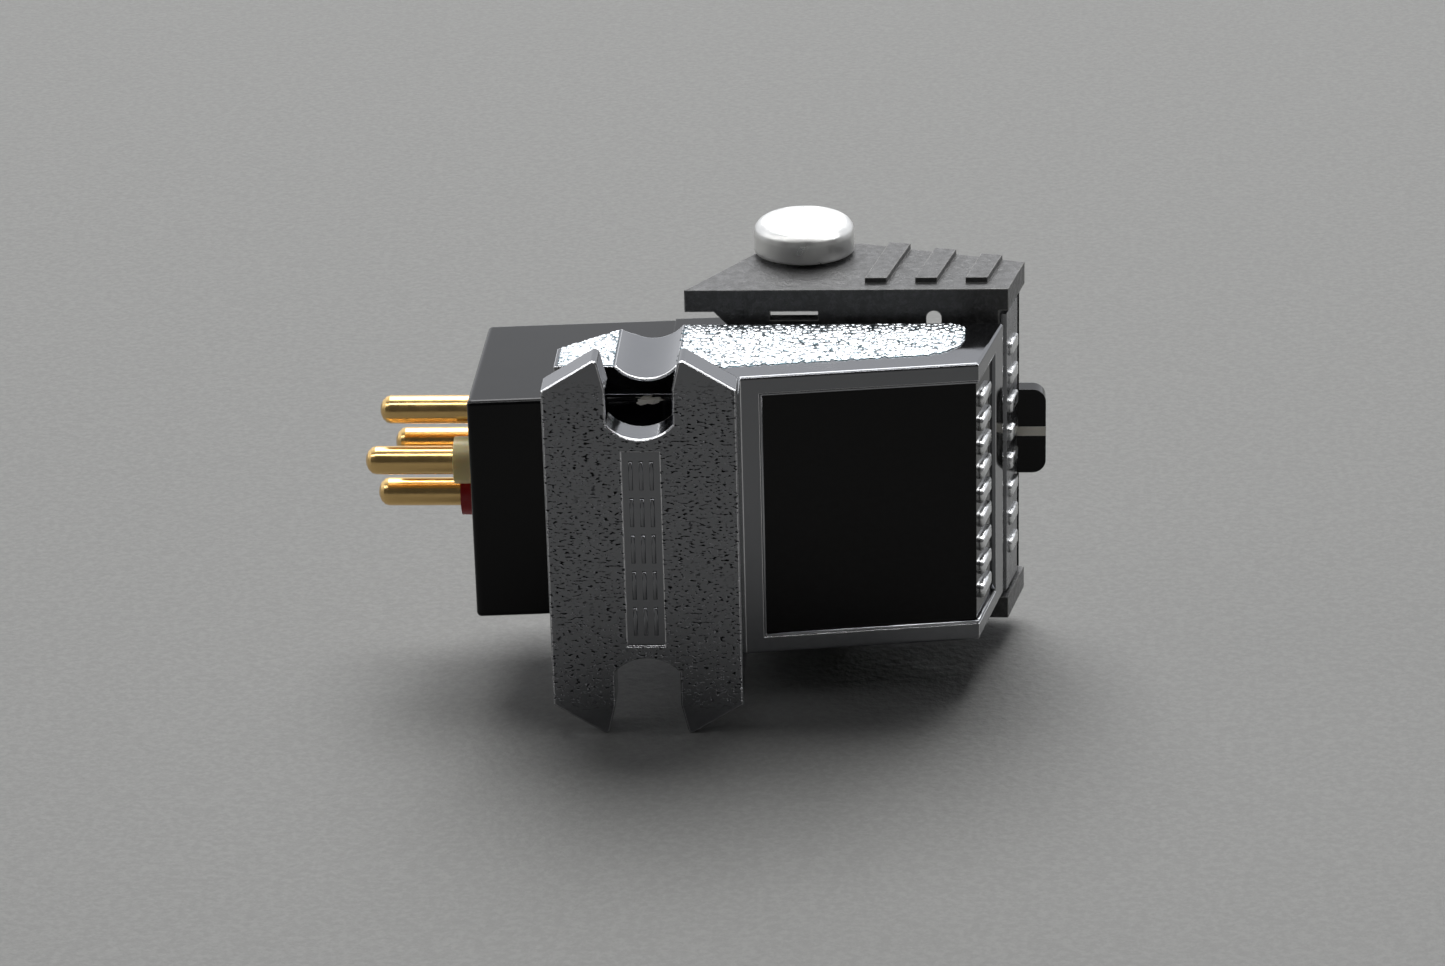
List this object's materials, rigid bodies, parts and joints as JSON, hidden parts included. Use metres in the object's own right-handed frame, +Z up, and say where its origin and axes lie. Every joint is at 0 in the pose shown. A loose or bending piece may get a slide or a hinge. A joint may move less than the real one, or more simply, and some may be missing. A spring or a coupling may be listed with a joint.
{
  "type": "moving magnet phono cartridge",
  "caption": "Phono cartridge with chromed hood and flange, black window, gold terminal pins, pull-off stylus grip, sprung cantilever and flip-down stylus guard.",
  "frame": {"origin": "middle of the mounting face, halfway between the two screw slots", "axes": "+Z up out of the mounting face, +Y to the terminals, -Y to the stylus end, X along the flange"},
  "size_m": [0.0188, 0.0302, 0.0181],
  "materials": {
    "chrome_shell": "polished",
    "black_gloss": "gloss",
    "black_matte": "matte",
    "gold": "polished",
    "cream": "satin",
    "red": "satin",
    "blue": "satin",
    "green": "satin",
    "board": "satin",
    "bobbin": "satin",
    "copper": "satin",
    "nickel_iron": "satin",
    "aluminium": "satin",
    "silver": "satin",
    "dark_chrome": "polished",
    "rubber": "matte",
    "magnet": "satin",
    "diamond": "gloss"
  },
  "bodies": {
    "cartridge": {"bobbin_lower_left": "bobbin", "bobbin_lower_right": "bobbin", "bobbin_upper_left": "bobbin", "bobbin_upper_right": "bobbin", "body_shell": "chrome_shell", "collar_left": "blue", "collar_lower": "green", "collar_right": "red", "collar_upper": "cream", "front_housing": "black_gloss", "pole_piece_lower_left": "nickel_iron", "pole_piece_lower_right": "nickel_iron", "pole_piece_upper_left": "nickel_iron", "pole_piece_upper_right": "nickel_iron", "shield_can": "nickel_iron", "socket_sleeve": "aluminium", "terminal_block": "black_gloss", "terminal_board": "board", "terminal_pin_left": "gold", "terminal_pin_lower": "gold", "terminal_pin_right": "gold", "terminal_pin_upper": "gold", "winding_lower_left": "copper", "winding_lower_right": "copper", "winding_upper_left": "copper", "winding_upper_right": "copper", "window_panel": "black_gloss"},
    "stylus": {"stylus_grip": "black_matte", "front_plate": "dark_chrome", "shank_tube": "aluminium", "tube_plug": "black_matte"},
    "guard": {"stylus_guard": "black_gloss", "cue_line": "cream", "pivot_pin_left": "nickel_iron", "pivot_pin_right": "nickel_iron", "knob_left": "silver", "knob_right": "silver"},
    "damper": {"damper_ring": "rubber"},
    "cantilever": {"cantilever": "aluminium", "magnet": "magnet", "tie_wire": "nickel_iron", "diamond_tip": "diamond"}
  },
  "joints": [
    {"name": "stylus_slide", "type": "slide", "parent": "cartridge", "child": "stylus", "axis": [0, -0.9397, -0.342], "range_m": [0, 0.008]},
    {"name": "guard_flip", "type": "hinge", "parent": "stylus", "child": "guard", "pos_m": [0, -0.00646, -0.0151], "axis": [1, 0, 0], "range_deg": [0, 50]},
    {"name": "cantilever_yaw", "type": "hinge", "parent": "stylus", "child": "damper", "pos_m": [0, -0.0052, -0.01531], "axis": [0, -0.342, 0.9397], "range_deg": [-3, 3], "stiffness_Nm_per_rad": 0.0018},
    {"name": "cantilever_pitch", "type": "hinge", "parent": "damper", "child": "cantilever", "pos_m": [0, -0.0052, -0.01531], "axis": [1, 0, 0], "range_deg": [-3, 3], "stiffness_Nm_per_rad": 0.0018}
  ]
}
